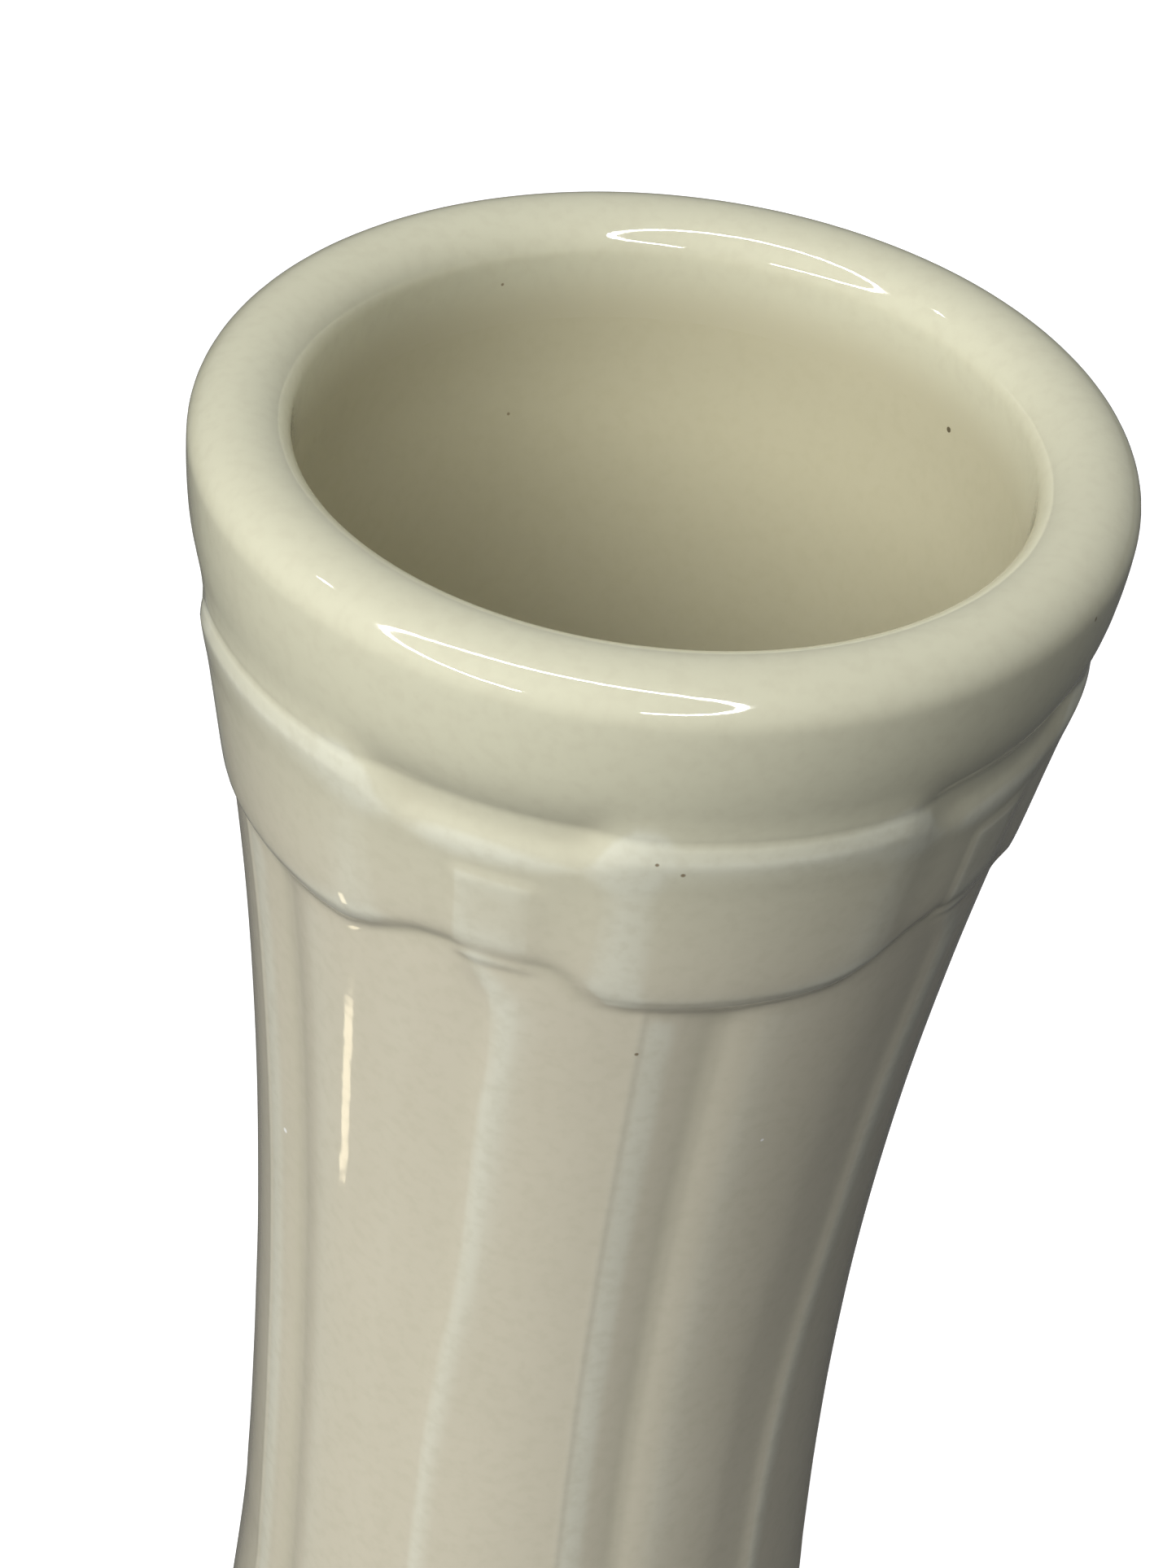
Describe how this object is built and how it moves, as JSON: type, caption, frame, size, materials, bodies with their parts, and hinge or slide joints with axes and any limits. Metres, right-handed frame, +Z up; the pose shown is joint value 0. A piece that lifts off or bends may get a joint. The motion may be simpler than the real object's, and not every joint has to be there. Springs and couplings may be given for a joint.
{
  "type": "flower vase",
  "caption": "Tall flared flower vase with a rolled lip and a woven relief, cast in cream glazed clay, for cut stems in water.",
  "frame": {"origin": "centre of the foot, on the plane that the vase stands on", "axes": "+Z up the vase to the mouth; -Y is the side where the band passes over the groove just right of the middle"},
  "size_m": [0.07, 0.07, 0.18],
  "materials": {
    "bare_clay": "matt fired clay, left bare on the foot ring",
    "cream_glaze": "glossy cream glaze, thinner on raised edges and pooled in the recesses",
    "liner_glaze": "glossy cream glaze poured inside, a little warmer"
  },
  "bodies": {
    "root": {"clay_body": "bare_clay", "outside_glaze": "cream_glaze", "inside_glaze": "liner_glaze"}
  },
  "joints": []
}
